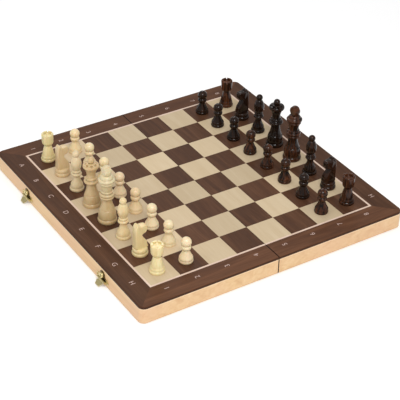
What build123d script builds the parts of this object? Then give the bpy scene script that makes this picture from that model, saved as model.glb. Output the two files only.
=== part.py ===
"""Chess set whose board folds into a case: two hinged half trays, two clasps and 32 turned pieces.

Millimetres, +Z up. The origin is the middle of the fold line, on the plane of the rims that the open
board stands on. White sits at -X and black at +X; file A is at +Y and file H at -Y.
"""

import os
from math import cos, radians, sin

from build123d import *

# Board
SQUARE = 40.0
FIELD_HALF = 4 * SQUARE
STRING_WIDTH = 2.6
BOARD_HALF = 191.0
BOARD_HEIGHT = 24.0
CORE_THICKNESS = 3.0
VENEER_THICKNESS = 0.6
RAIL_THICKNESS = 8.0
SEAM_HALF = 0.35
CORNER_RADIUS = 8.0
EDGE_ROUND = 1.4

VENEER_BASE = BOARD_HEIGHT - VENEER_THICKNESS
CORE_BASE = VENEER_BASE - CORE_THICKNESS
STRING_OUTER = FIELD_HALF + STRING_WIDTH
PIECE_LIFT = 0.02

# Butt hinges under the fold
HINGE_OFFSETS = (-110.0, 110.0)
HINGE_LENGTH = 30.0
LEAF_REACH = 7.0
LEAF_BOTTOM = 0.05
LEAF_THICKNESS = 0.85
KNUCKLE_RADIUS = 1.25
HINGE_PIN_RADIUS = 0.6
RUNNING_GAP = 0.05
KNUCKLE_GAP = 0.25
SCREW_SPACING = 18.0
SCREW_CENTRE = 4.2
SCREW_LENGTH = 8.0
SCREW_HEAD_RADIUS = 1.5
SCREW_SHANK_RADIUS = 0.75

# Clasps on the outer wall of the white half, and their catches on the black half
CLASP_OFFSETS = {"rear": 100.0, "front": -100.0}
PLATE_THICKNESS = 0.7
CLASP_PLATE_LENGTH = 28.0
CLASP_EAR_HEIGHT = 6.8
CLASP_EAR_CENTRE = 6.8
CLASP_ARCH_WIDTH = 11.4
CLASP_ARCH_TOP = 17.6
EYELET_HEIGHT = 12.4
EYELET_RADIUS = 3.9
EYELET_BORE = 1.5
EYELET_STEM = 1.5
EYELET_BULGE = 1.2
EYELET_POCKET = 3.0
CLASP_AXIS_HEIGHT = 5.6
CLASP_AXIS_OUT = 2.3
CLASP_KNUCKLE_RADIUS = 1.5
CLASP_PIN_RADIUS = 0.6
FLAP_KNUCKLE_LENGTH = 9.0
FLAP_LENGTH = 8.2
FLAP_ROOT_WIDTH = 13.0
FLAP_TIP_WIDTH = 8.0
FLAP_THICKNESS = 0.7
FLAP_REST_ANGLE = 50.0
NAIL_OFFSET = 11.7
NAIL_HEIGHT = 7.0
NAIL_HEAD_RADIUS = 1.3
NAIL_SHANK_RADIUS = 0.55
NAIL_LENGTH = 5.5
CATCH_LENGTH = 24.0
CATCH_HEIGHT = 7.0
CATCH_CENTRE = 4.0
CATCH_NAIL_OFFSET = 8.6
NIB_WIDTH = 3.4
NIB_REACH = 1.85

# Turned pieces: steps up the outline, as (kind, radius, height, bulge). A bead bulges outwards and a
# cove inwards; a ball gives its radius and the height of its centre, and ends the outline.
PAWN = (
    ("line", 8.6, 0.0),
    ("bead", 8.7, 3.2, 0.4),
    ("line", 8.4, 3.6),
    ("bead", 7.8, 7.4, 0.5),
    ("cove", 4.1, 15.6, 0.2),
    ("cove", 4.9, 17.4, 0.3),
    ("bead", 4.9, 22.9, 1.2),
    ("ball", 6.5, 27.6),
)
ROOK = (
    ("line", 9.1, 0.0),
    ("bead", 9.2, 3.8, 0.6),
    ("line", 8.7, 4.3),
    ("bead", 7.9, 8.6, 0.5),
    ("bead", 4.7, 21.6, 0.3),
    ("cove", 5.2, 23.6, 0.4),
    ("bead", 7.6, 28.0, 0.5),
    ("line", 8.0, 38.4),
    ("bead", 6.8, 40.0, 0.4),
    ("line", 5.0, 40.0),
    ("line", 4.6, 38.0),
    ("line", 0.0, 37.8),
)
KNIGHT_BASE = (
    ("line", 9.6, 0.0),
    ("bead", 9.6, 4.6, 0.7),
    ("line", 8.7, 5.2),
    ("bead", 8.4, 9.6, 0.9),
    ("line", 7.4, 10.4),
    ("line", 0.0, 10.4),
)
BISHOP = (
    ("line", 8.8, 0.0),
    ("bead", 8.8, 3.8, 0.7),
    ("line", 8.1, 4.3),
    ("bead", 6.9, 10.6, 0.5),
    ("cove", 4.0, 19.4, 0.5),
    ("cove", 5.2, 21.8, 0.4),
    ("bead", 5.2, 25.4, 1.6),
    ("line", 4.6, 26.0),
    ("bead", 4.6, 29.0, 1.1),
    ("line", 4.4, 29.8),
    ("bead", 3.5, 48.9, 3.0),
    ("ball", 4.5, 52.5),
)
QUEEN = (
    ("line", 11.1, 0.0),
    ("bead", 11.1, 4.8, 0.7),
    ("line", 10.5, 5.4),
    ("bead", 9.2, 16.0, 0.6),
    ("line", 8.6, 16.6),
    ("line", 8.8, 17.4),
    ("cove", 5.9, 31.4, 0.7),
    ("cove", 7.2, 33.8, 0.5),
    ("bead", 7.2, 37.8, 2.3),
    ("line", 6.4, 38.6),
    ("bead", 6.2, 41.8, 1.1),
    ("line", 5.6, 42.8),
    ("cove", 6.6, 50.6, 0.5),
    ("cove", 9.4, 55.6, 0.5),
    ("bead", 9.2, 60.4, 1.1),
    ("line", 7.4, 60.8),
    ("bead", 3.2, 62.4, 0.6),
    ("ball", 4.4, 65.7),
)
KING = (
    ("line", 11.6, 0.0),
    ("bead", 11.6, 5.0, 0.7),
    ("line", 11.1, 5.6),
    ("bead", 9.6, 18.0, 0.7),
    ("line", 9.0, 18.6),
    ("line", 9.2, 19.4),
    ("cove", 6.1, 32.2, 0.7),
    ("cove", 7.3, 34.2, 0.4),
    ("bead", 7.3, 37.6, 1.7),
    ("line", 6.9, 38.0),
    ("bead", 7.3, 41.8, 2.3),
    ("line", 6.7, 42.4),
    ("bead", 6.7, 45.2, 1.1),
    ("line", 6.4, 46.0),
    ("cove", 8.2, 54.8, 0.4),
    ("bead", 8.2, 57.6, 1.0),
    ("line", 7.9, 58.0),
    ("bead", 8.2, 62.8, 2.3),
    ("line", 7.7, 63.4),
    ("bead", 4.6, 67.6, 1.0),
    ("ball", 7.0, 73.0),
)

# Details cut into the turned bodies
ROOK_SLOTS = 6
ROOK_SLOT_WIDTH = 1.3
ROOK_SLOT_DEPTH = 2.6
QUEEN_SCALLOPS = 8
QUEEN_SCALLOP_RADIUS = 1.7
QUEEN_SCALLOP_LENGTH = 6.6
QUEEN_SCALLOP_OUT = 9.8
QUEEN_CROWN_TOP = 61.2
CROSS_THICKNESS = 8.6
CROSS_CENTRE = 73.0
CROSS_RADIUS = 7.0
CROSS_NOTCH = 2.3
CROSS_LIFT = 1.7

# The knight's sawn head, a flat slab whose muzzle points along +X: (x, height, sagitta) round its
# outline from the back of the neck's foot
HEAD_THICKNESS = 9.6
MUZZLE_THICKNESS = 6.6
HEAD_BASE = 10.2
HEAD_BACK, HEAD_FRONT = -6.4, 9.0
NECK_ROUND = 1.5
HEAD_OUTLINE = (
    (-7.0, HEAD_BASE, 0.0),
    (7.6, HEAD_BASE, 0.0),
    (7.8, 17.0, -0.5),
    (1.0, 29.6, 0.9),
    (6.0, 31.4, -0.4),
    (8.4, 34.0, -0.6),
    (8.4, 39.4, 0.0),
    (6.4, 41.4, -0.5),
    (-0.8, 41.6, 0.0),
    (-4.0, 44.8, 0.3),
    (-6.6, 41.8, -0.8),
    (-7.0, HEAD_BASE, -0.7),
)


def step_arc(start, end, bulge):
    """Arc from start to end whose middle stands out from the chord, away from the turning axis."""
    return SagittaArc(start, end, -bulge)


def turned(outline):
    """Solid of revolution about Z from the steps of an outline, which begins on the base plane."""
    with BuildPart() as body:
        with BuildSketch(Plane.XZ) as half:
            with BuildLine():
                here = (0.0, 0.0)
                for kind, radius, height, *bulge in outline:
                    there = (radius, height)
                    if kind == "line":
                        Line(here, there)
                    elif kind == "bead":
                        step_arc(here, there, bulge[0])
                    elif kind == "cove":
                        step_arc(here, there, -bulge[0])
                    else:
                        drop = (radius**2 - here[0] ** 2) ** 0.5
                        neck = (here[0], height - drop)
                        there = (0.0, height + radius)
                        if abs(neck[1] - here[1]) > 0.01:
                            Line(here, neck)
                            here = neck
                        ThreePointArc(here, (radius, height), there)
                    here = there
                Line(here, (0.0, 0.0))
            make_face()
        revolve(axis=Axis.Z)
    return body.part


def pawn():
    return turned(PAWN)


def rook():
    """Castle turret: crenels cut across the rim of a hollowed top."""
    top = ROOK[-3][2]
    with BuildPart() as piece:
        add(turned(ROOK))
        with BuildSketch(Plane.XY.offset(top)):
            with PolarLocations(0, ROOK_SLOTS // 2, angular_range=180):
                Rectangle(4 * ROOK[-3][1], ROOK_SLOT_WIDTH)
        extrude(amount=-ROOK_SLOT_DEPTH, mode=Mode.SUBTRACT)
    return piece.part


def head_profile():
    """The knight's head seen from its side."""
    with BuildSketch() as profile:
        with BuildLine():
            for (x, z, _), (next_x, next_z, sagitta) in zip(HEAD_OUTLINE, HEAD_OUTLINE[1:]):
                if sagitta:
                    SagittaArc((x, z), (next_x, next_z), sagitta)
                else:
                    Line((x, z), (next_x, next_z))
        make_face()
    return profile.sketch


def head_plan():
    """The head seen from above: rounded at the back of the neck and narrowing to the muzzle."""
    wide, narrow = HEAD_THICKNESS / 2, MUZZLE_THICKNESS / 2
    with BuildSketch() as plan:
        with BuildLine():
            Line((HEAD_BACK, wide), (HEAD_FRONT, narrow))
            Line((HEAD_FRONT, narrow), (HEAD_FRONT, -narrow))
            Line((HEAD_FRONT, -narrow), (HEAD_BACK, -wide))
            SagittaArc((HEAD_BACK, -wide), (HEAD_BACK, wide), -NECK_ROUND)
        make_face()
    return plan.sketch


def knight():
    """Turned base with a sawn horse's head, muzzle towards +X."""
    with BuildPart() as piece:
        with BuildSketch(Plane.XZ):
            add(head_profile())
        extrude(amount=HEAD_THICKNESS / 2, both=True)
        with BuildSketch(Plane.XY.offset(HEAD_BASE - 1)):
            add(head_plan())
        extrude(amount=4 * HEAD_BASE, mode=Mode.INTERSECT)
        add(turned(KNIGHT_BASE))
    return piece.part


def bishop():
    return turned(BISHOP)


def queen():
    """Flared crown, scalloped all round its upper edge."""
    with BuildPart() as piece:
        add(turned(QUEEN))
        with PolarLocations(0, QUEEN_SCALLOPS, start_angle=180 / QUEEN_SCALLOPS):
            with Locations(Location((QUEEN_SCALLOP_OUT, 0, QUEEN_CROWN_TOP), (0, 90, 0))):
                Cylinder(QUEEN_SCALLOP_RADIUS, QUEEN_SCALLOP_LENGTH, mode=Mode.SUBTRACT)
    return piece.part


def king():
    """The top ball is flattened front and back and notched at four corners into a cross."""
    with BuildPart() as piece:
        add(turned(KING))
        with Locations((0, 0, CROSS_CENTRE)):
            for side in (-1, 1):
                with Locations((side * (CROSS_THICKNESS / 2 + 5), 0, CROSS_LIFT)):
                    Box(10, 20, 2 * CROSS_RADIUS, mode=Mode.SUBTRACT)
        with BuildSketch(Plane.YZ.offset(-10)):
            with Locations((0, CROSS_CENTRE)):
                with PolarLocations(CROSS_RADIUS + 0.3, 2, start_angle=45, angular_range=180):
                    Circle(CROSS_NOTCH)
        extrude(amount=20, mode=Mode.SUBTRACT)
    return piece.part


# ---- Board ----


def trapezium(*corners):
    """Flat four-sided area whose corners are given in place."""
    Polygon(*corners, align=None)


def mitred_strips(side, inner, outer):
    """Border of a half along its three outer sides, as if of strips mitred at the two corners."""
    trapezium((side * outer, -outer), (side * outer, outer), (side * inner, inner), (side * inner, -inner))
    for end in (-1, 1):
        trapezium(
            (side * SEAM_HALF, end * outer),
            (side * outer, end * outer),
            (side * inner, end * inner),
            (side * SEAM_HALF, end * inner),
        )


def half_outline(side):
    """Plan of one half, square at the fold and rounded at its two outer corners."""
    with BuildSketch() as plan:
        with Locations((side * (BOARD_HALF + SEAM_HALF) / 2, 0)):
            Rectangle(BOARD_HALF - SEAM_HALF, 2 * BOARD_HALF)
        outer_corners = plan.vertices().sort_by(lambda corner: -abs(corner.X))[:2]
        fillet(outer_corners, radius=CORNER_RADIUS)
    return plan.sketch


def eased_slab(side):
    """Playing panel's full thickness, with its top edge rounded over along the three outer sides."""
    with BuildPart() as slab:
        with BuildSketch(Plane.XY.offset(CORE_BASE)):
            add(half_outline(side))
        extrude(amount=CORE_THICKNESS + VENEER_THICKNESS)
        rim = slab.edges().group_by(Axis.Z)[-1]
        fold_edge = rim.sort_by(lambda edge: abs(edge.center().X))[0]
        fillet([edge for edge in rim if edge != fold_edge], radius=EDGE_ROUND)
    return slab.part


def panel_core(side):
    with BuildPart() as core:
        add(eased_slab(side))
        with BuildSketch(Plane.XY.offset(VENEER_BASE)):
            Rectangle(3 * BOARD_HALF, 3 * BOARD_HALF)
        extrude(amount=EDGE_ROUND, mode=Mode.SUBTRACT)
    return core.part


def border_veneer(side):
    with BuildPart() as border:
        with BuildSketch(Plane.XY.offset(VENEER_BASE)):
            mitred_strips(side, STRING_OUTER, BOARD_HALF)
        extrude(amount=VENEER_THICKNESS)
        add(eased_slab(side), mode=Mode.INTERSECT)
    return border.part


def stringing(side):
    with BuildPart() as string:
        with BuildSketch(Plane.XY.offset(VENEER_BASE)):
            mitred_strips(side, FIELD_HALF, STRING_OUTER)
        extrude(amount=VENEER_THICKNESS)
    return string.part


def squares(side, dark):
    """The sixteen squares of one colour on one half; the corner at -X, +Y is dark."""
    with BuildPart() as veneer:
        with BuildSketch(Plane.XY.offset(VENEER_BASE)):
            for column in range(4):
                near = max(column * SQUARE, SEAM_HALF)
                far = (column + 1) * SQUARE
                for row in range(-4, 4):
                    rank = column if side > 0 else -1 - column
                    if ((rank + row) % 2 == 1) == dark:
                        with Locations((side * (near + far) / 2, (row + 0.5) * SQUARE)):
                            Rectangle(far - near, SQUARE)
        extrude(amount=VENEER_THICKNESS)
    return veneer.part


def rail_wedge(side, name):
    """Plan area of one wall of a tray, mitred at 45 degrees where it meets its neighbours."""
    outer, fold = BOARD_HALF, SEAM_HALF
    inner, fold_inner = outer - RAIL_THICKNESS, fold + RAIL_THICKNESS
    if name == "outer_rail":
        trapezium(
            (side * outer, -outer),
            (side * outer, outer),
            (side * inner, inner),
            (side * inner, -inner),
        )
    elif name == "hinge_rail":
        trapezium(
            (side * fold, -outer),
            (side * fold, outer),
            (side * fold_inner, inner),
            (side * fold_inner, -inner),
        )
    else:
        for end in (-1, 1):
            trapezium(
                (side * fold, end * outer),
                (side * outer, end * outer),
                (side * inner, end * inner),
                (side * fold_inner, end * inner),
            )


def rail(side, name):
    """One wall of a tray, from the rim up to the playing panel."""
    with BuildPart() as wall:
        with BuildSketch():
            rail_wedge(side, name)
            add(half_outline(side), mode=Mode.INTERSECT)
        extrude(amount=CORE_BASE)
    return wall.part


def hinge_rail(side):
    """Wall along the fold, let in for the hinge leaves, their barrels and their screws."""
    with BuildPart() as wall:
        add(rail(side, "hinge_rail"))
        for middle in HINGE_OFFSETS:
            with Locations((side * LEAF_REACH / 2, middle, 0)):
                Box(
                    LEAF_REACH + 0.4,
                    HINGE_LENGTH + 0.4,
                    2 * (LEAF_BOTTOM + LEAF_THICKNESS + 0.05),
                    mode=Mode.SUBTRACT,
                )
            with Locations(Location((0, middle, 0), (90, 0, 0))):
                Cylinder(KNUCKLE_RADIUS + KNUCKLE_GAP, HINGE_LENGTH + 0.4, mode=Mode.SUBTRACT)
            for end in (-1, 1):
                with Locations((side * SCREW_CENTRE, middle + end * SCREW_SPACING / 2, 0)):
                    Cylinder(
                        SCREW_SHANK_RADIUS + RUNNING_GAP,
                        2 * (SCREW_LENGTH + 0.5),
                        mode=Mode.SUBTRACT,
                    )
    return wall.part


def wall_pocket(side, middle, height, radius, depth):
    """Round blind hole into an outer wall."""
    with Locations(Location((side * BOARD_HALF, middle, height), (0, 90, 0))):
        Cylinder(radius, 2 * depth, mode=Mode.SUBTRACT)


def outer_rail(side):
    """Wall facing a player, bored for the nails of its clasp plates or catches."""
    reach, height = (NAIL_OFFSET, NAIL_HEIGHT) if side < 0 else (CATCH_NAIL_OFFSET, CATCH_CENTRE)
    nail_hole = NAIL_SHANK_RADIUS + RUNNING_GAP
    with BuildPart() as wall:
        add(rail(side, "outer_rail"))
        for middle in CLASP_OFFSETS.values():
            for end in (-1, 1):
                wall_pocket(side, middle + end * reach, height, nail_hole, NAIL_LENGTH + 0.5)
            if side < 0:
                wall_pocket(side, middle, EYELET_HEIGHT, EYELET_BORE + 0.6, EYELET_POCKET)
    return wall.part


# ---- Hinges ----


def hinge_segments(side):
    """Spans along Y, from the hinge's middle, of the knuckles that belong to one leaf."""
    middle_end = HINGE_LENGTH / 6 - KNUCKLE_GAP / 2
    outer_start = HINGE_LENGTH / 6 + KNUCKLE_GAP / 2
    if side > 0:
        return [(-middle_end, middle_end)]
    return [(-HINGE_LENGTH / 2, -outer_start), (outer_start, HINGE_LENGTH / 2)]


def hinge_leaf(side, middle):
    clear = KNUCKLE_RADIUS + KNUCKLE_GAP
    with BuildPart() as leaf:
        with BuildSketch(Plane.XY.offset(LEAF_BOTTOM)):
            with Locations((side * (clear + LEAF_REACH) / 2, middle)):
                Rectangle(LEAF_REACH - clear, HINGE_LENGTH)
            for low, high in hinge_segments(side):
                with Locations((side * clear / 2, middle + (low + high) / 2)):
                    Rectangle(clear + 0.2, high - low)
        extrude(amount=LEAF_THICKNESS)
        for low, high in hinge_segments(side):
            with Locations(Location((0, middle + (low + high) / 2, 0), (90, 0, 0))):
                Cylinder(KNUCKLE_RADIUS, high - low)
        with Locations(Location((0, middle, 0), (90, 0, 0))):
            Cylinder(HINGE_PIN_RADIUS + RUNNING_GAP, HINGE_LENGTH + 1, mode=Mode.SUBTRACT)
        for end in (-1, 1):
            with Locations(Location((side * SCREW_CENTRE, middle + end * SCREW_SPACING / 2, 0))):
                Cone(
                    SCREW_HEAD_RADIUS + 0.12,
                    SCREW_SHANK_RADIUS + 0.12,
                    LEAF_BOTTOM + LEAF_THICKNESS + 0.02,
                    align=(Align.CENTER, Align.CENTER, Align.MIN),
                    mode=Mode.SUBTRACT,
                )
    return leaf.part


def wood_screw(side, middle):
    """Countersunk screw up through a hinge leaf, its slotted head at the rim."""
    head = LEAF_BOTTOM + LEAF_THICKNESS - 0.1
    with BuildPart() as screw:
        with BuildSketch(Plane.XZ):
            with BuildLine():
                Polyline(
                    (0, 0.1),
                    (SCREW_HEAD_RADIUS - 0.1, 0.1),
                    (SCREW_SHANK_RADIUS, head),
                    (SCREW_SHANK_RADIUS, SCREW_LENGTH - 2),
                    (0, SCREW_LENGTH),
                    (0, 0.1),
                )
            make_face()
        revolve(axis=Axis.Z)
        Box(4, 0.4, 0.8, mode=Mode.SUBTRACT)
    place = [(side * SCREW_CENTRE, middle + end * SCREW_SPACING / 2, 0) for end in (-1, 1)]
    with BuildPart() as pair:
        with Locations(*place):
            add(screw.part)
    return pair.part


def hinge_pin(middle):
    with BuildPart() as pin:
        with Locations(Location((0, middle, 0), (90, 0, 0))):
            Cylinder(HINGE_PIN_RADIUS, HINGE_LENGTH)
    return pin.part


# ---- Clasps ----


def clasp_axis():
    """Where the flap turns: out from the white half's wall, low down, along Y."""
    return -(BOARD_HALF + CLASP_AXIS_OUT), CLASP_AXIS_HEIGHT


def clasp_plate(middle):
    """Wall plate with a raised eyelet, two ears for nails and two rolled knuckles along its foot."""
    out, height = clasp_axis()
    knuckle_end = CLASP_PLATE_LENGTH / 2 - 5.0
    gap = FLAP_KNUCKLE_LENGTH / 2 + KNUCKLE_GAP
    face = -(BOARD_HALF + PLATE_THICKNESS)
    shoulder = face - EYELET_STEM
    hole_top, ring_top = EYELET_HEIGHT + EYELET_BORE, EYELET_HEIGHT + EYELET_RADIUS
    with BuildPart() as plate:
        with BuildSketch(Plane.YZ.offset(-BOARD_HALF)):
            with Locations((middle, CLASP_EAR_CENTRE)):
                RectangleRounded(CLASP_PLATE_LENGTH, CLASP_EAR_HEIGHT, CLASP_EAR_HEIGHT / 2 - 0.2)
            with Locations((middle, (CLASP_EAR_CENTRE + CLASP_ARCH_TOP) / 2)):
                RectangleRounded(
                    CLASP_ARCH_WIDTH,
                    CLASP_ARCH_TOP - CLASP_EAR_CENTRE,
                    CLASP_ARCH_WIDTH / 2 - 0.8,
                )
        extrude(amount=-PLATE_THICKNESS)
        with BuildSketch(Plane.XZ.offset(-middle)):
            with BuildLine():
                Line((face + 0.2, hole_top), (face + 0.2, ring_top))
                Line((face + 0.2, ring_top), (shoulder, ring_top))
                ThreePointArc(
                    (shoulder, ring_top),
                    (shoulder - EYELET_BULGE, (ring_top + hole_top) / 2),
                    (shoulder, hole_top),
                )
                Line((shoulder, hole_top), (face + 0.2, hole_top))
            make_face()
        revolve(axis=Axis((0, middle, EYELET_HEIGHT), (1, 0, 0)))
        with Locations(Location((-BOARD_HALF, middle, EYELET_HEIGHT), (0, 90, 0))):
            Cylinder(EYELET_BORE, 8, mode=Mode.SUBTRACT)
        for end in (-1, 1):
            span = knuckle_end - gap
            centre = middle + end * (gap + knuckle_end) / 2
            with Locations(Location((out, centre, height), (90, 0, 0))):
                Cylinder(CLASP_KNUCKLE_RADIUS, span)
            with Locations((out / 2 - BOARD_HALF / 2, centre, height - CLASP_KNUCKLE_RADIUS + 0.35)):
                Box(CLASP_AXIS_OUT, span, PLATE_THICKNESS)
        with Locations(Location((out, middle, height), (90, 0, 0))):
            Cylinder(CLASP_PIN_RADIUS + RUNNING_GAP, CLASP_PLATE_LENGTH, mode=Mode.SUBTRACT)
        for end in (-1, 1):
            with Locations(Location((-BOARD_HALF, middle + end * NAIL_OFFSET, NAIL_HEIGHT), (0, 90, 0))):
                Cylinder(NAIL_SHANK_RADIUS + RUNNING_GAP, 4, mode=Mode.SUBTRACT)
    return plate.part


def clasp_pin(middle):
    out, height = clasp_axis()
    with BuildPart() as pin:
        with Locations(Location((out, middle, height), (90, 0, 0))):
            Cylinder(CLASP_PIN_RADIUS, CLASP_PLATE_LENGTH - 10)
    return pin.part


def clasp_flap(middle):
    """Tapered flap with a rolled thumb edge, at rest swung out until it nears the table."""
    out, height = clasp_axis()
    lean = radians(FLAP_REST_ANGLE)
    swung = Plane(origin=(out, middle, height), x_dir=(0, 1, 0), z_dir=(cos(lean), 0, -sin(lean)))
    with BuildPart() as flap:
        with BuildSketch(swung):
            with BuildLine():
                Polyline(
                    (-FLAP_KNUCKLE_LENGTH / 2, 0),
                    (-FLAP_KNUCKLE_LENGTH / 2, -CLASP_KNUCKLE_RADIUS - 0.5),
                    (-FLAP_ROOT_WIDTH / 2, -CLASP_KNUCKLE_RADIUS - 0.9),
                    (-FLAP_TIP_WIDTH / 2, -FLAP_LENGTH + 0.6),
                    (FLAP_TIP_WIDTH / 2, -FLAP_LENGTH + 0.6),
                    (FLAP_ROOT_WIDTH / 2, -CLASP_KNUCKLE_RADIUS - 0.9),
                    (FLAP_KNUCKLE_LENGTH / 2, -CLASP_KNUCKLE_RADIUS - 0.5),
                    (FLAP_KNUCKLE_LENGTH / 2, 0),
                    close=True,
                )
            make_face()
        extrude(amount=FLAP_THICKNESS / 2, both=True)
        tip = swung.from_local_coords(Vector(0, -FLAP_LENGTH + 0.6, 0))
        with Locations(Location(tip, (90, 0, 0))):
            Cylinder(0.6, FLAP_TIP_WIDTH)
        with Locations(Location((out, middle, height), (90, 0, 0))):
            Cylinder(CLASP_KNUCKLE_RADIUS, FLAP_KNUCKLE_LENGTH)
            Cylinder(CLASP_PIN_RADIUS + RUNNING_GAP, FLAP_KNUCKLE_LENGTH + 1, mode=Mode.SUBTRACT)
    return flap.part


def catch_plate(middle):
    """Plate near the black half's rim with the nib that the closed flap's rolled edge hooks over."""
    with BuildPart() as plate:
        with BuildSketch(Plane.YZ.offset(BOARD_HALF)):
            with Locations((middle, CATCH_CENTRE)):
                RectangleRounded(CATCH_LENGTH, CATCH_HEIGHT, 2.4)
        extrude(amount=PLATE_THICKNESS)
        with BuildSketch(Plane.XZ.offset(-middle)):
            with BuildLine():
                foot, tip = BOARD_HALF + PLATE_THICKNESS / 2, BOARD_HALF + NIB_REACH
                Polyline((foot, 0.7), (foot, 1.7), (tip, 1.25), (tip, 0.7), close=True)
            make_face()
        extrude(amount=NIB_WIDTH / 2, both=True)
        for end in (-1, 1):
            across = middle + end * CATCH_NAIL_OFFSET
            with Locations(Location((BOARD_HALF, across, CATCH_CENTRE), (0, 90, 0))):
                Cylinder(NAIL_SHANK_RADIUS + RUNNING_GAP, 4, mode=Mode.SUBTRACT)
    return plate.part


def nail(side, centre, height):
    """Domed nail driven into an outer wall through a plate."""
    outside = Plane(origin=(side * (BOARD_HALF + PLATE_THICKNESS), centre, height), z_dir=(side, 0, 0))
    shank = NAIL_LENGTH + PLATE_THICKNESS
    with BuildPart() as piece:
        with BuildSketch(outside):
            Circle(NAIL_HEAD_RADIUS)
        extrude(amount=0.7, taper=32)
        with BuildSketch(outside):
            Circle(NAIL_SHANK_RADIUS)
        extrude(amount=-shank)
    return piece.part


def nails(side, reach, height):
    with BuildPart() as group:
        for middle in CLASP_OFFSETS.values():
            for end in (-1, 1):
                add(nail(side, middle + end * reach, height))
    return group.part


# ---- Output ----


def save(solid, name):
    with BuildPart() as piece:
        add(solid)
    piece.part.label = name
    export_step(piece.part, f"parts/{name}.step")


def gather(solids):
    """Identical small pieces that share one node."""
    with BuildPart() as group:
        for solid in solids:
            add(solid)
    return group.part


def save_board():
    for side, owner in ((-1, "white_side"), (1, "black_side")):
        save(panel_core(side), f"{owner}_panel_core")
        save(border_veneer(side), f"{owner}_border_veneer")
        save(stringing(side), f"{owner}_stringing")
        save(squares(side, dark=True), f"{owner}_dark_squares")
        save(squares(side, dark=False), f"{owner}_light_squares")
        save(outer_rail(side), f"{owner}_outer_rail")
        save(hinge_rail(side), f"{owner}_hinge_rail")
        save(rail(side, "end_rails"), f"{owner}_end_rails")
        save(gather([hinge_leaf(side, middle) for middle in HINGE_OFFSETS]), f"{owner}_hinge_leaves")
        save(gather([wood_screw(side, middle) for middle in HINGE_OFFSETS]), f"{owner}_hinge_screws")
    save(gather([hinge_pin(middle) for middle in HINGE_OFFSETS]), "hinge_pins")


def save_clasps():
    middles = CLASP_OFFSETS.values()
    save(gather([clasp_plate(middle) for middle in middles]), "clasp_plates")
    save(gather([clasp_pin(middle) for middle in middles]), "clasp_pins")
    save(nails(-1, NAIL_OFFSET, NAIL_HEIGHT), "clasp_nails")
    save(gather([catch_plate(middle) for middle in middles]), "catch_plates")
    save(nails(1, CATCH_NAIL_OFFSET, CATCH_CENTRE), "catch_nails")
    for name, middle in CLASP_OFFSETS.items():
        save(clasp_flap(middle), f"{name}_clasp_flap")


def save_pieces():
    """Both armies in their opening places; the black men face -X."""
    shapes = {make.__name__: make() for make in (rook, knight, bishop, queen, king, pawn)}
    back_row = ("rook", "knight", "bishop", "queen", "king", "bishop", "knight", "rook")
    foot = BOARD_HEIGHT + PIECE_LIFT
    for side, colour, turn in ((-1, "white", 0), (1, "black", 180)):
        for number, letter in enumerate("abcdefgh"):
            across = (3.5 - number) * SQUARE
            for kind, ranks_out in ((back_row[number], 3.5), ("pawn", 2.5)):
                place = Location((side * ranks_out * SQUARE, across, foot), (0, 0, turn))
                save(shapes[kind].moved(place), f"{colour}_{kind}_{letter}")


os.makedirs("parts", exist_ok=True)
save_board()
save_clasps()
save_pieces()
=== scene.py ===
"""Looks for the folding chess set: materials, lettering, carved knights, stage, light and camera.

Everything is in metres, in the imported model's own frame: +Z up, white at -X, black at +X.
"""

import math
import random

import bmesh
import bpy
from mathutils import Matrix, Vector


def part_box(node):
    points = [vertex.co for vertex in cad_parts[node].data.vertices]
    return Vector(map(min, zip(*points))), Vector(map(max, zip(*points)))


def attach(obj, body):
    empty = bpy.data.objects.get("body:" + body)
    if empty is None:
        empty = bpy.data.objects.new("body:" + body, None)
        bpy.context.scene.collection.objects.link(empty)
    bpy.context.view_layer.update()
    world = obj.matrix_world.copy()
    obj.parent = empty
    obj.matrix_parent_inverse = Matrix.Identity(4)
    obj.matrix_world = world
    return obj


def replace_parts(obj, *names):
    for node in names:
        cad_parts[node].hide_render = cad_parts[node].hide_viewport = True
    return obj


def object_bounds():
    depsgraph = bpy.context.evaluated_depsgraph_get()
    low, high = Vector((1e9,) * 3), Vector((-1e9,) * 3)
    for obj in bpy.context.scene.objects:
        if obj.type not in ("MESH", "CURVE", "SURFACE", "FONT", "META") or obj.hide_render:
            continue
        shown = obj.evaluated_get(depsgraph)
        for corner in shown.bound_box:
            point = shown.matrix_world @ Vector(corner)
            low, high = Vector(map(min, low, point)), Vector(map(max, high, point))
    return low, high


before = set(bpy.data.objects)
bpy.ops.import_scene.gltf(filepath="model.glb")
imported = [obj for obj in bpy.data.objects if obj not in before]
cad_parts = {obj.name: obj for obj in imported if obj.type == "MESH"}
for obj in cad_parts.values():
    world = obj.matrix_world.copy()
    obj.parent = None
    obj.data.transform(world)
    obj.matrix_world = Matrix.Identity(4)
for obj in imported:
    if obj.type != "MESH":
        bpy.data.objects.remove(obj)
CAD_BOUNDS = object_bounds()

MM = 0.001
WHITE_HALF, BLACK_HALF = "white_half", "black_half"
FILES = "ABCDEFGH"
RANKS = "12345678"
MIDDLE = 3.5


# ---- Sizes read from the frame ----

def half_box():
    """Half the board's width and depth, and the height of its playing surface."""
    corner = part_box("black_side_panel_core")[1]
    return corner.x, corner.y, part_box("black_side_border_veneer")[1].z


BOARD_X, BOARD_Y, BOARD_TOP = half_box()
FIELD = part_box("black_side_dark_squares")[1].x
SQUARE = FIELD / 4
PANEL_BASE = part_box("black_side_panel_core")[0].z
CLASP_OUT = 100 * MM
KING_HEIGHT = 80 * MM


# ---- Node helpers ----

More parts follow.
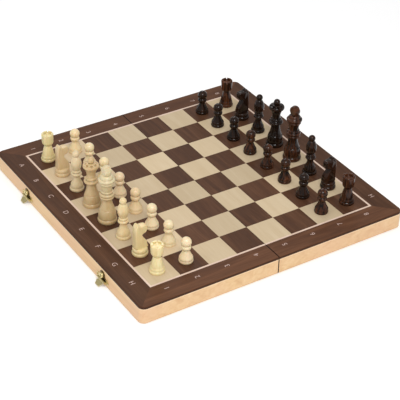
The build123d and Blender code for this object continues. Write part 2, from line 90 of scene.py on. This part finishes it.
class Tree:
    """A material's node tree with short ways to add and join nodes."""

    def __init__(self, name):
        self.material = bpy.data.materials.new(name)
        self.material.use_nodes = True
        self.nodes = self.material.node_tree.nodes
        self.links = self.material.node_tree.links
        self.shader = self.nodes["Principled BSDF"]

    def add(self, kind, **settings):
        node = self.nodes.new(kind)
        for name, value in settings.items():
            setattr(node, name, value)
        return node

    def join(self, source, target):
        self.links.new(source, target)

    def place(self):
        """Position in the row frame, at rest."""
        return self.add("ShaderNodeTexCoord").outputs["Object"]

    def stretched(self, source, scale, turn=(0, 0, 0), shift=(0, 0, 0)):
        node = self.add("ShaderNodeMapping")
        node.inputs["Scale"].default_value = scale
        node.inputs["Rotation"].default_value = turn
        node.inputs["Location"].default_value = shift
        self.join(source, node.inputs["Vector"])
        return node.outputs["Vector"]

    def noise(self, vector, scale, detail=4.0, roughness=0.55, distortion=0.0):
        node = self.add("ShaderNodeTexNoise")
        node.inputs["Scale"].default_value = scale
        node.inputs["Detail"].default_value = detail
        node.inputs["Roughness"].default_value = roughness
        node.inputs["Distortion"].default_value = distortion
        self.join(vector, node.inputs["Vector"])
        return node.outputs["Fac"]

    def ramp(self, fac, stops):
        """Colour ramp; stops are (position, colour) with a grey given as one number."""
        node = self.add("ShaderNodeValToRGB")
        elements = node.color_ramp.elements
        while len(elements) < len(stops):
            elements.new(0.5)
        for element, (position, colour) in zip(elements, stops):
            element.position = position
            element.color = (*colour, 1) if isinstance(colour, tuple) else (colour, colour, colour, 1)
        self.join(fac, node.inputs["Fac"])
        return node.outputs["Color"]

    def mix(self, fac, first, second, blend="MIX"):
        """Mixes two colours, or a colour given as a tuple; fac is an output or a number."""
        node = self.add("ShaderNodeMix", data_type="RGBA", blend_type=blend)
        for value, socket in ((fac, node.inputs[0]), (first, node.inputs[6]), (second, node.inputs[7])):
            if isinstance(value, bpy.types.NodeSocket):
                self.join(value, socket)
            elif isinstance(value, tuple):
                socket.default_value = (*value, 1)
            else:
                socket.default_value = value
        return node.outputs[2]

    def maths(self, operation, first, second=0.0, third=0.0):
        node = self.add("ShaderNodeMath", operation=operation)
        for value, socket in zip((first, second, third), node.inputs):
            if isinstance(value, bpy.types.NodeSocket):
                self.join(value, socket)
            else:
                socket.default_value = value
        return node.outputs[0]

    def bump(self, height, strength, distance):
        node = self.add("ShaderNodeBump")
        node.inputs["Strength"].default_value = strength
        node.inputs["Distance"].default_value = distance
        self.join(height, node.inputs["Height"])
        self.join(node.outputs["Normal"], self.shader.inputs["Normal"])

    def finish(self, colour, roughness, **uniform):
        """Joins colour and roughness, and sets what is the same all over on the shader itself."""
        self.join(colour, self.shader.inputs["Base Color"])
        self.join(roughness, self.shader.inputs["Roughness"])
        for name, value in uniform.items():
            self.shader.inputs[name.replace("_", " ").title().replace("Ior", "IOR")].default_value = value
        return self.material


# ---- Materials ----

def linear(red, green, blue):
    """Scene-linear colour of an sRGB triple in 0..255."""
    def channel(value):
        value /= 255
        return value / 12.92 if value <= 0.04045 else ((value + 0.055) / 1.055) ** 2.4
    return channel(red), channel(green), channel(blue)


def square_hash(tree, place):
    """A random grey for each square of the field, so that every veneer has its own tone."""
    cell = tree.add("ShaderNodeVectorMath", operation="SCALE")
    cell.inputs["Scale"].default_value = 1 / SQUARE
    tree.join(place, cell.inputs[0])
    whole = tree.add("ShaderNodeVectorMath", operation="FLOOR")
    tree.join(cell.outputs[0], whole.inputs[0])
    flat = tree.stretched(whole.outputs[0], (1, 1, 0))
    white = tree.add("ShaderNodeTexWhiteNoise", noise_dimensions="3D")
    tree.join(flat, white.inputs["Vector"])
    return flat, white.outputs["Value"]


def offset_by(tree, place, cell, amount):
    """Moves the grain from square to square so that it never runs on into the next one."""
    shift = tree.add("ShaderNodeVectorMath", operation="MULTIPLY_ADD")
    tree.join(cell, shift.inputs[0])
    shift.inputs[1].default_value = (amount, amount * 1.7, 0)
    tree.join(place, shift.inputs[2])
    return shift.outputs[0]


# Woods as ramps from their darkest streak to their palest, and the tint of walnut's pores
WALNUT = ((0.28, linear(76, 49, 34)), (0.5, linear(90, 60, 42)), (0.74, linear(112, 78, 57)))
WALNUT_PORES = (0.78, 0.74, 0.72)
MAPLE = ((0.3, linear(208, 186, 152)), (0.55, linear(214, 193, 160)), (0.8, linear(220, 201, 170)))
BEECH = ((0.25, linear(211, 168, 120)), (0.5, linear(226, 190, 142)), (0.8, linear(235, 205, 161)))
STRING_WOOD = ((0.3, linear(218, 190, 170)), (0.7, linear(230, 206, 188)))
FINE_PORES = ((0.35, 0.0), (0.75, 1.0))
VENEER_GLOSS = ((0.3, 0.38), (0.7, 0.52))
VENEER_SHEEN = {"coat_weight": 0.01, "coat_roughness": 0.3, "specular_IOR_level": 0.1}
PORE_DEPTH = 0.12 * MM

# Width and depth of the painted shade along the fold gap, depth of the rails' pale top, and the part of
# a clasp plate with painted shade behind the flap: its flat, up to this far on both sides of the eyelet
FOLD_GAP_SHADE_WIDTH = 0.75 * MM
RAIL_GAP_SHADE_DEPTH = 1.0 * MM
RAIL_CROWN = 1.1 * MM
PLATE_SHADE_FACE = -(BOARD_X + 0.85 * MM)
PLATE_SHADE_HALF = 8.0 * MM


def veneer(name, tones, pores, per_square=True):
    """Sliced veneer: long soft streaks along Y, fine pores, and a slow change of tone."""
    tree = Tree(name)
    place = tree.place()
    if per_square:
        cell, tone = square_hash(tree, place)
        place = offset_by(tree, place, cell, 0.173)
    broad = tree.noise(tree.stretched(place, (1, 0.09, 1)), 60, 5, 0.6, 1.2)
    fine = tree.noise(tree.stretched(place, (1, 0.05, 1)), 900, 3, 0.7)
    colour = tree.ramp(broad, tones)
    colour = tree.mix(tree.ramp(fine, FINE_PORES), colour, pores, "MULTIPLY")
    if per_square:
        light = tree.ramp(tone, ((0.0, 0.86), (1.0, 1.08)))
        colour = tree.mix(1.0, colour, light, "MULTIPLY")
    tree.bump(fine, 0.12, PORE_DEPTH)
    return tree.finish(colour, tree.ramp(broad, VENEER_GLOSS), **VENEER_SHEEN)


def dark_squares_material():
    return veneer("walnut_squares", WALNUT, WALNUT_PORES)


def light_squares_material():
    return veneer("maple_squares", MAPLE, (0.95, 0.93, 0.9))


def fold_gap_shade(tree, colour, split, inset):
    """Paints shade along the gap on both sides of the fold, down to a depth from the board's ends."""
    near = tree.maths("LESS_THAN", tree.maths("ABSOLUTE", split.outputs["X"]), FOLD_GAP_SHADE_WIDTH)
    outside = tree.maths("GREATER_THAN", tree.maths("ABSOLUTE", split.outputs["Y"]), BOARD_Y - inset)
    return tree.mix(tree.maths("MULTIPLY", near, outside), colour, linear(44, 26, 17))


def border_material():
    """Walnut strips whose grain follows each side, meeting in mitres at the corners."""
    tree = Tree("walnut_border")
    place = tree.place()
    split = tree.add("ShaderNodeSeparateXYZ")
    tree.join(place, split.inputs[0])
    across = tree.maths("ABSOLUTE", split.outputs["X"])
    along = tree.maths("ABSOLUTE", split.outputs["Y"])
    is_end = tree.maths("GREATER_THAN", tree.maths("SUBTRACT", along, across), BOARD_Y - BOARD_X)
    strips = []
    for turn in (0.0, math.radians(90)):
        rotated = tree.stretched(place, (1, 1, 1), (0, 0, turn), (0.31 * turn, 0.2, 0))
        broad = tree.noise(tree.stretched(rotated, (1, 0.07, 1)), 55, 5, 0.6, 1.2)
        fine = tree.noise(tree.stretched(rotated, (1, 0.04, 1)), 900, 3, 0.7)
        strips.append((broad, fine))
    broad = tree.mix(is_end, strips[0][0], strips[1][0])
    fine = tree.mix(is_end, strips[0][1], strips[1][1])
    colour = tree.ramp(broad, WALNUT)
    colour = tree.mix(tree.ramp(fine, FINE_PORES), colour, WALNUT_PORES, "MULTIPLY")
    tone = tree.mix(is_end, (0.88, 0.87, 0.85), (1.2, 1.15, 1.1))
    colour = tree.mix(1.0, colour, tone, "MULTIPLY")
    # Painted shade along the fold gap, across the whole border
    colour = fold_gap_shade(tree, colour, split, BOARD_Y)
    tree.bump(fine, 0.12, PORE_DEPTH)
    return tree.finish(colour, tree.ramp(broad, VENEER_GLOSS), **VENEER_SHEEN)


def stringing_material():
    return veneer("pale_stringing", STRING_WOOD, (0.97, 0.95, 0.94), per_square=False)


def core_material():
    """Plywood with a dark stained edge; its underside, inside the tray, is left pale brown."""
    tree = Tree("stained_core")
    place = tree.place()
    grain = tree.noise(tree.stretched(place, (1, 0.08, 1)), 70, 5, 0.6, 1.0)
    ply = tree.noise(tree.stretched(place, (0.15, 0.15, 6)), 300, 2, 0.5)
    edge = tree.ramp(ply, ((0.3, linear(58, 35, 23)), (0.7, linear(80, 50, 34))))
    under = tree.ramp(grain, ((0.3, linear(186, 146, 104)), (0.7, linear(212, 176, 132))))
    split = tree.add("ShaderNodeSeparateXYZ")
    tree.join(place, split.inputs[0])
    is_under = tree.maths("LESS_THAN", split.outputs["Z"], PANEL_BASE + 0.02 * MM)
    colour = tree.mix(is_under, edge, under)
    gloss = tree.ramp(grain, ((0.3, 0.45), (0.7, 0.6)))
    tree.bump(grain, 0.1, 0.0002)
    return tree.finish(colour, gloss, coat_weight=0.02, coat_roughness=0.4, specular_IOR_level=0.1)


def rail_material(name, along_x):
    """Beech: pale, warm, with short flecks and slow bands along the wall's length."""
    tree = Tree(name)
    place = tree.place()
    turn = (0, 0, math.radians(90)) if along_x else (0, 0, 0)
    lengthwise = tree.stretched(place, (1, 0.05, 1.4), turn)
    bands = tree.noise(lengthwise, 75, 4, 0.55, 0.8)
    flecks = tree.noise(tree.stretched(place, (1, 0.16, 1.6), turn), 620, 2, 0.6)
    cloud = tree.noise(place, 14, 2, 0.5)
    colour = tree.ramp(bands, BEECH)
    blush = tree.ramp(cloud, ((0.35, 0.0), (0.7, 0.45)))
    colour = tree.mix(blush, colour, linear(226, 182, 148))
    split = tree.add("ShaderNodeSeparateXYZ")
    tree.join(place, split.inputs[0])
    crown = tree.maths("GREATER_THAN", split.outputs["Z"], PANEL_BASE - RAIL_CROWN)
    colour = tree.mix(tree.maths("MULTIPLY", crown, 0.4), colour, linear(252, 230, 196))
    dots = tree.ramp(flecks, ((0.62, 0.0), (0.74, 0.35)))
    colour = tree.mix(dots, colour, linear(200, 150, 104))
    # Painted shade along the fold gap, on the walls' outer faces near the board's ends only
    colour = fold_gap_shade(tree, colour, split, RAIL_GAP_SHADE_DEPTH)
    gloss = tree.ramp(bands, ((0.3, 0.42), (0.7, 0.55)))
    tree.bump(flecks, 0.08, 0.0001)
    return tree.finish(colour, gloss, coat_weight=0.08, coat_roughness=0.35, specular_IOR_level=0.3)


def wood_rings(tree, place, seed, scale):
    """Growth rings along a man's height, slightly off its axis."""
    shifted = tree.stretched(place, (1, 1, 0.12), (0.05, 0.04, 0), (seed * 0.37, seed * 0.61, seed * 0.2))
    return tree.noise(shifted, scale, 4, 0.6, 1.5)


def light_man_material(name, tone, crown, seed):
    """Pale boxwood under satin varnish, darker in the turned grooves as painted shade and paler towards
    the top as painted light.
    """
    tree = Tree(name)
    place = tree.place()
    split = tree.add("ShaderNodeSeparateXYZ")
    tree.join(place, split.inputs[0])
    height = tree.maths("MULTIPLY_ADD", split.outputs["Z"], 1 / KING_HEIGHT, -BOARD_TOP / KING_HEIGHT)
    rings = wood_rings(tree, place, seed, 190)
    fine = tree.noise(tree.stretched(place, (1, 1, 0.08), shift=(seed, 0, 0)), 1500, 2, 0.6)
    dark = tuple(channel * share for channel, share in zip(tone, (0.88, 0.83, 0.72)))
    pale = tuple(min(channel * share, 0.95) for channel, share in zip(tone, (1.03, 1.04, 1.06)))
    colour = tree.ramp(rings, ((0.28, dark), (0.5, tone), (0.75, pale)))
    # Painted light: towards the top the colour turns to the crown colour, which differs from the tone only
    # for the king
    colour = tree.mix(tree.ramp(height, ((0.4, 0.0), (0.75, 0.85))), colour, crown)
    colour = tree.mix(tree.ramp(fine, ((0.4, 0.0), (0.8, 0.5))), colour, dark)
    # Painted shade: darker in the concave turned grooves between the beads
    pointiness = tree.add("ShaderNodeNewGeometry").outputs["Pointiness"]
    groove_shade = tree.ramp(pointiness, ((0.44, 0.75), (0.5, 0.0)))
    colour = tree.mix(groove_shade, colour, tuple(channel * 0.6 for channel in dark))
    gloss = tree.ramp(rings, ((0.3, 0.30), (0.7, 0.42)))
    tree.bump(fine, 0.1, 0.00008)
    return tree.finish(
        colour,
        gloss,
        coat_weight=0.35,
        coat_roughness=0.22,
        subsurface_weight=0.12,
        subsurface_scale=4 * MM,
    )


def dark_man_material(name, tone, glow, seed):
    """Dark lacquer with the red-brown wood showing through where it is thin, on edges and rings; on the
    edges it is partly a painted highlight.
    """
    tree = Tree(name)
    place = tree.place()
    rings = wood_rings(tree, place, seed, 150)
    pointiness = tree.add("ShaderNodeNewGeometry").outputs["Pointiness"]
    # Red-brown on the sharp edges: partly wood under worn lacquer, partly a painted highlight on the beads
    edge_wear_and_highlight = tree.ramp(pointiness, ((0.5, 0.0), (0.58, 0.8)))
    colour = tree.ramp(rings, ((0.42, tone), (0.7, glow)))
    colour = tree.mix(edge_wear_and_highlight, colour, glow)
    gloss = tree.ramp(rings, ((0.3, 0.12), (0.7, 0.2)))
    tree.bump(rings, 0.06, 0.0002)
    return tree.finish(colour, gloss, coat_weight=0.14, coat_roughness=0.05, specular_IOR_level=0.2)


def brass_material(name, tone, rough):
    """Thin stamped brass: bright, faintly brushed and clouded."""
    tree = Tree(name)
    place = tree.place()
    cloud = tree.noise(place, 240, 3, 0.6)
    brushed = tree.noise(tree.stretched(place, (1, 0.05, 1)), 2600, 2, 0.6)
    dull = tuple(channel * 0.8 for channel in tone)
    colour = tree.ramp(cloud, ((0.3, dull), (0.65, tone)))
    gloss = tree.ramp(brushed, ((0.3, rough), (0.7, rough + 0.14)))
    tree.bump(brushed, 0.05, 0.00005)
    return tree.finish(colour, gloss, metallic=1.0)


def clasp_plate_material():
    """The same brass, with painted shade in dark brown on the flat of the plate round the eyelet and
    behind the flap.
    """
    tree = Tree("plate_painted_shade")
    place = tree.place()
    split = tree.add("ShaderNodeSeparateXYZ")
    tree.join(place, split.inputs[0])
    flat = tree.maths("GREATER_THAN", split.outputs["X"], PLATE_SHADE_FACE)
    off = tree.maths("SUBTRACT", tree.maths("ABSOLUTE", split.outputs["Y"]), CLASP_OUT)
    middle = tree.maths("LESS_THAN", tree.maths("ABSOLUTE", off), PLATE_SHADE_HALF)
    cloud = tree.noise(place, 240, 3, 0.6)
    bright = tree.ramp(cloud, ((0.3, linear(196, 180, 126)), (0.65, linear(222, 208, 158))))
    # Painted shade: the plate's flat round the eyelet and behind the flap turns dark brown
    colour = tree.mix(tree.maths("MULTIPLY", flat, middle), bright, linear(96, 80, 42))
    gloss = tree.ramp(cloud, ((0.3, 0.26), (0.7, 0.38)))
    tree.bump(cloud, 0.05, 0.00005)
    return tree.finish(colour, gloss, metallic=1.0)


def ink_material():
    """Pale printed lettering, slightly uneven in its cover."""
    tree = Tree("printed_lettering")
    place = tree.place()
    cover = tree.noise(place, 1800, 3, 0.6)
    colour = tree.ramp(cover, ((0.3, linear(170, 140, 128)), (0.65, linear(205, 178, 166))))
    gloss = tree.ramp(cover, ((0.3, 0.45), (0.7, 0.6)))
    tree.bump(cover, 0.05, 0.00003)
    return tree.finish(colour, gloss, coat_weight=0.1)


def paint(node_name, material):
    """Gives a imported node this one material."""
    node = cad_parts[node_name]
    node.data.materials.clear()
    node.data.materials.append(material)


LIGHT_TONES = {
    "pawn": linear(244, 224, 182),
    "rook": linear(248, 230, 178),
    "knight": linear(236, 212, 160),
    "bishop": linear(234, 208, 162),
    "queen": linear(208, 180, 136),
    "king": linear(200, 174, 130),
}
# The king's paler top is painted light; its darker tone lower down stands for painted shade from the
# neighbouring men
KING_TOP_PAINTED_LIGHT = linear(228, 214, 174)
# Men whose wood stands apart from the rest of their kind
ODD_TONES = {
    "white_pawn_d": linear(234, 208, 170),
    "white_pawn_e": linear(236, 212, 170),
    "white_knight_b": linear(222, 196, 150),
    "white_bishop_c": linear(226, 204, 162),
    "white_rook_a": linear(238, 220, 166),
}
DARK_TONE = linear(18, 11, 7)
DARK_GLOW = linear(108, 62, 36)
RUDDY = (
    "black_king_e", "black_rook_a", "black_rook_h",
    "black_pawn_d", "black_pawn_e", "black_pawn_f", "black_pawn_h",
)


def paint_board():
    walnut, maple = dark_squares_material(), light_squares_material()
    border, line, core = border_material(), stringing_material(), core_material()
    long_rail, end_rail = rail_material("beech_rail", False), rail_material("beech_end_rail", True)
    brass = brass_material("stamped_brass", linear(218, 203, 150), 0.27)
    for owner in ("white_side", "black_side"):
        for suffix, material in (
            ("dark_squares", walnut),
            ("light_squares", maple),
            ("border_veneer", border),
            ("stringing", line),
            ("panel_core", core),
            ("outer_rail", long_rail),
            ("hinge_rail", long_rail),
            ("end_rails", end_rail),
            ("hinge_leaves", brass),
            ("hinge_screws", brass),
        ):
            paint(f"{owner}_{suffix}", material)
    paint("clasp_plates", clasp_plate_material())
    for name in ("clasp_pins", "catch_plates", "rear_clasp_flap", "front_clasp_flap", "hinge_pins"):
        paint(name, brass)
    nail = brass_material("brassed_nails", linear(206, 182, 120), 0.28)
    for name in ("clasp_nails", "catch_nails"):
        paint(name, nail)


def men():
    """Every man's node name with its colour and kind."""
    for name in sorted(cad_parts):
        words = name.split("_")
        if len(words) == 3 and words[0] in ("white", "black") and words[1] in LIGHT_TONES:
            yield name, words[0], words[1]


def man_material(name, colour, kind, seed):
    chance = random.Random(seed)
    if colour == "white":
        drift = (chance.uniform(0.97, 1.02), chance.uniform(0.97, 1.01), chance.uniform(0.92, 1.02))
        plain = ODD_TONES.get(name, LIGHT_TONES[kind])
        tone = tuple(channel * share for channel, share in zip(plain, drift))
        return light_man_material(f"boxwood_{name}", tone, KING_TOP_PAINTED_LIGHT if kind == "king" else tone, seed)
    share = chance.uniform(0.6, 0.85) if name in RUDDY else chance.uniform(0.12, 0.3)
    glow = tuple(dark + (bright - dark) * share for dark, bright in zip(DARK_TONE, DARK_GLOW))
    return dark_man_material(f"lacquer_{name}", DARK_TONE, glow, seed)


# ---- Lettering on the border ----

LETTER_SIZE = 9.3 * MM
LETTER_THICKNESS = 0.03 * MM
LETTER_LIFT = 0.01 * MM
LETTER_LINE, NUMBER_LINE = 176.8 * MM, 173.2 * MM
LETTER_PITCH, NUMBER_PITCH = 41.3 * MM, 41.8 * MM


def glyph(character, x, y, up):
    """Mesh of one character lying on the board, centred at (x, y), its head towards up * X."""
    curve = bpy.data.curves.new("glyph", "FONT")
    curve.body = character
    curve.size = LETTER_SIZE
    curve.extrude = LETTER_THICKNESS / 2
    curve.align_x = "CENTER"
    curve.align_y = "CENTER"
    curve.resolution_u = 4
    holder = bpy.data.objects.new("glyph", curve)
    bpy.context.scene.collection.objects.link(holder)
    bpy.context.view_layer.update()
    mesh = bpy.data.meshes.new_from_object(holder.evaluated_get(bpy.context.evaluated_depsgraph_get()))
    bpy.data.objects.remove(holder)
    axes = Matrix(((0, up, 0), (-up, 0, 0), (0, 0, 1))).to_4x4()
    height = BOARD_TOP + LETTER_THICKNESS / 2 + LETTER_LIFT
    mesh.transform(Matrix.Translation((x, y, height)) @ axes)
    return mesh


def lettering(side, material):
    """Letters along one player's side and the numbers of that half's four ranks, front and rear."""
    shape = bmesh.new()
    spots = [
        (letter, side * LETTER_LINE, (MIDDLE - n) * LETTER_PITCH, -side)
        for n, letter in enumerate(FILES)
    ]
    for n, digit in enumerate(RANKS):
        x = (n - MIDDLE) * NUMBER_PITCH
        if x * side > 0:
            spots += [(digit, x, -NUMBER_LINE, -1), (digit, x, NUMBER_LINE, 1)]
    for spot in spots:
        shape.from_mesh(glyph(*spot))
    bmesh.ops.remove_doubles(shape, verts=shape.verts, dist=1e-7)
    body = WHITE_HALF if side < 0 else BLACK_HALF
    return add_piece(f"{body}_lettering", shape, material, body, smooth=False)


def add_piece(name, shape, material, body, smooth=True):
    """Makes a scene object from a bmesh, riding on a body."""
    mesh = bpy.data.meshes.new(name)
    shape.to_mesh(mesh)
    shape.free()
    mesh.polygons.foreach_set("use_smooth", [smooth] * len(mesh.polygons))
    mesh.materials.append(material)
    piece = bpy.data.objects.new(name, mesh)
    bpy.context.scene.collection.objects.link(piece)
    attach(piece, body)
    return piece


# ---- Knights ----

# Side view of the head, in mm from the knight's axis and foot, muzzle towards +X
HEAD = (
    (-6.9, 9.8), (-7.5, 18.0), (-7.7, 27.0), (-7.5, 35.0), (-6.8, 40.6), (-5.4, 43.7), (-4.1, 44.6),
    (-2.6, 43.4), (-0.9, 41.8), (1.2, 41.7), (4.0, 41.8), (6.6, 41.4), (8.2, 39.8), (8.5, 36.6),
    (8.0, 33.4), (5.8, 31.5), (3.0, 30.9), (1.1, 29.7), (1.7, 27.4), (4.4, 23.2), (7.0, 19.0), (7.9, 15.0),
    (7.6, 9.8),
)
KNIGHT_FOOT = (
    (0.0, 0.0), (9.2, 0.0), (9.8, 0.7), (10.15, 1.9), (10.15, 2.9), (9.8, 4.1), (9.5, 4.6), (8.9, 4.9),
    (9.0, 5.4), (9.35, 6.6), (9.3, 7.8), (8.9, 9.2), (8.3, 9.9), (7.4, 10.3), (0.0, 10.4),
)
HEAD_HALF, HEAD_ROUND = 4.8, 1.1
SMOOTH_STEPS = 5
LATHE_STEPS = 72


def flowing(points, steps):
    """Smooth closed line through the points."""
    found = []
    count = len(points)
    for n in range(count):
        a, b, c, d = (Vector(points[(n + k) % count]) for k in (-1, 0, 1, 2))
        for step in range(steps):
            t = step / steps
            bend = 2 * a - 5 * b + 4 * c - d
            twist = 3 * b - a - 3 * c + d
            found.append(0.5 * (2 * b + (c - a) * t + bend * t ** 2 + twist * t ** 3))
    return found


def head_half_width(x, z):
    """Half the head's thickness in mm: full at the neck, narrower at the muzzle and the ears."""
    muzzle = min(max((x - 1.0) / 8.0, 0.0), 1.0) if z > 30 else 0.0
    ears = min(max((z - 40.0) / 7.0, 0.0), 1.0)
    return HEAD_HALF * (1 - 0.3 * muzzle ** 1.5) * (1 - 0.22 * ears ** 1.5)


def knight_head(shape):
    """A slab cut to the head's outline, its edges rounded over ring by ring."""
    outline = flowing(HEAD, SMOOTH_STEPS)
    count = len(outline)
    normals = []
    for n in range(count):
        along = (outline[(n + 1) % count] - outline[n - 1]).normalized()
        normals.append(Vector((along.y, -along.x)))
    rings = []
    turns = [math.radians(angle) for angle in range(-90, 91, 15)]
    for turn in turns:
        inset = HEAD_ROUND * (1 - math.cos(turn))
        ring = []
        for point, normal in zip(outline, normals):
            x, z = point + normal * inset
            reach = head_half_width(point.x, point.y) - HEAD_ROUND
            y = math.copysign(reach, turn) * (turn != 0) + HEAD_ROUND * math.sin(turn)
            ring.append(shape.verts.new((x * MM, y * MM, z * MM)))
        rings.append(ring)
    for low, high in zip(rings, rings[1:]):
        for n in range(count):
            shape.faces.new((low[n], low[(n + 1) % count], high[(n + 1) % count], high[n]))
    for ring in (rings[0], list(reversed(rings[-1]))):
        shape.faces.new(list(reversed(ring)))


def knight_foot(shape):
    """Turned foot of the knight."""
    rings = []
    for radius, height in KNIGHT_FOOT:
        if radius == 0:
            rings.append([shape.verts.new((0, 0, height * MM))] * LATHE_STEPS)
            continue
        turns = [2 * math.pi * n / LATHE_STEPS for n in range(LATHE_STEPS)]
        rings.append([
            shape.verts.new((radius * math.cos(turn) * MM, radius * math.sin(turn) * MM, height * MM))
            for turn in turns
        ])
    for low, high in zip(rings, rings[1:]):
        for n in range(LATHE_STEPS):
            corners = [low[n], low[(n + 1) % LATHE_STEPS], high[(n + 1) % LATHE_STEPS], high[n]]
            shape.faces.new(list(dict.fromkeys(corners)))


def carve_knight(name, colour, material):
    """Replaces the plain knight by a carved one in the same place."""
    low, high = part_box(name)
    shape = bmesh.new()
    knight_head(shape)
    knight_foot(shape)
    bmesh.ops.recalc_face_normals(shape, faces=shape.faces)
    facing = 0 if colour == "white" else math.pi
    middle = Vector(((low.x + high.x) / 2, (low.y + high.y) / 2, low.z))
    place = Matrix.Translation(middle) @ Matrix.Rotation(facing, 4, "Z")
    bmesh.ops.transform(shape, matrix=place, verts=shape.verts)
    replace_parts(add_piece(f"{name}_carved", shape, material, name), name)


# ---- Stage, light and camera ----

FLOOR_SIZE = 14
FLOOR_GAP = 0.1 * MM
FLOOR_GLOW = 0.18
WORLD_STRENGTH = 0.52
LOOK_AT = Vector((0, 0, 0.03))
# Name, place, width and depth, and power of each lamp
LAMPS = (
    ("key", (-0.45, -1.05, 1.45), (0.7, 0.7), 16.3),
    ("fill", (-1.3, 0.1, 1.2), (0.6, 0.6), 2.5),
    ("back", (0.5, 1.3, 1.4), (1.0, 0.6), 5),
)


def add_floor():
    """Pale floor just under the lowest point of the set."""
    bpy.ops.mesh.primitive_plane_add(size=FLOOR_SIZE, location=(0, 0, CAD_BOUNDS[0][2] - FLOOR_GAP))
    floor = bpy.context.object
    floor.name = "floor"
    tree = Tree("pale_floor")
    cloud = tree.noise(tree.place(), 3, 2, 0.5)
    colour = tree.ramp(cloud, ((0.3, 0.93), (0.7, 0.95)))
    tree.finish(
        colour,
        tree.ramp(cloud, ((0.3, 0.7), (0.7, 0.75))),
        emission_color=(1, 1, 1, 1),
        emission_strength=FLOOR_GLOW,
    )
    floor.data.materials.append(tree.material)


def add_area(name, place, size, power):
    light = bpy.data.lights.new(name, "AREA")
    light.shape = "RECTANGLE"
    light.size, light.size_y = size
    light.energy = power
    lamp = bpy.data.objects.new(name, light)
    lamp.location = place
    lamp.rotation_euler = (LOOK_AT - Vector(place)).to_track_quat("-Z", "Y").to_euler()
    bpy.context.scene.collection.objects.link(lamp)


def add_lights():
    """White surroundings and three soft lamps."""
    bpy.context.scene.view_settings.view_transform = "Standard"
    world = bpy.data.worlds.new("studio")
    bpy.context.scene.world = world
    world.use_nodes = True
    world.node_tree.nodes["Background"].inputs["Color"].default_value = (1, 1, 1, 1)
    world.node_tree.nodes["Background"].inputs["Strength"].default_value = WORLD_STRENGTH
    for lamp in LAMPS:
        add_area(*lamp)


# Angles in degrees, lens in mm, distance and aim in squares
CAMERA = {
    "azimuth": -33.134, "elevation": 34.693, "roll": 1.527,
    "distance": 42.585, "aim": (-0.448, -1.035), "lens": 120.85,
}


def add_camera():
    """Long lens looking down across the white side's front corner."""
    turn, tilt, roll = (math.radians(CAMERA[key]) for key in ("azimuth", "elevation", "roll"))
    back = Vector((math.sin(turn) * math.cos(tilt), -math.cos(turn) * math.cos(tilt), math.sin(tilt)))
    right = Vector((0, 0, 1)).cross(back).normalized()
    up = back.cross(right)
    tilted_right = math.cos(roll) * right + math.sin(roll) * up
    tilted_up = -math.sin(roll) * right + math.cos(roll) * up
    aim = Vector((CAMERA["aim"][0] * SQUARE, CAMERA["aim"][1] * SQUARE, BOARD_TOP))
    data = bpy.data.cameras.new("camera")
    data.sensor_width = 36
    data.lens = CAMERA["lens"]
    camera = bpy.data.objects.new("camera", data)
    axes = Matrix((tilted_right, tilted_up, back)).transposed()
    camera.matrix_world = Matrix.Translation(aim + back * CAMERA["distance"] * SQUARE) @ axes.to_4x4()
    bpy.context.scene.collection.objects.link(camera)
    bpy.context.scene.camera = camera


add_camera()
add_floor()
add_lights()
paint_board()
for number, (name, colour, kind) in enumerate(men()):
    finish = man_material(name, colour, kind, number + 1)
    paint(name, finish)
    if kind == "knight":
        carve_knight(name, colour, finish)
print_ink = ink_material()
for half in (-1, 1):
    lettering(half, print_ink)
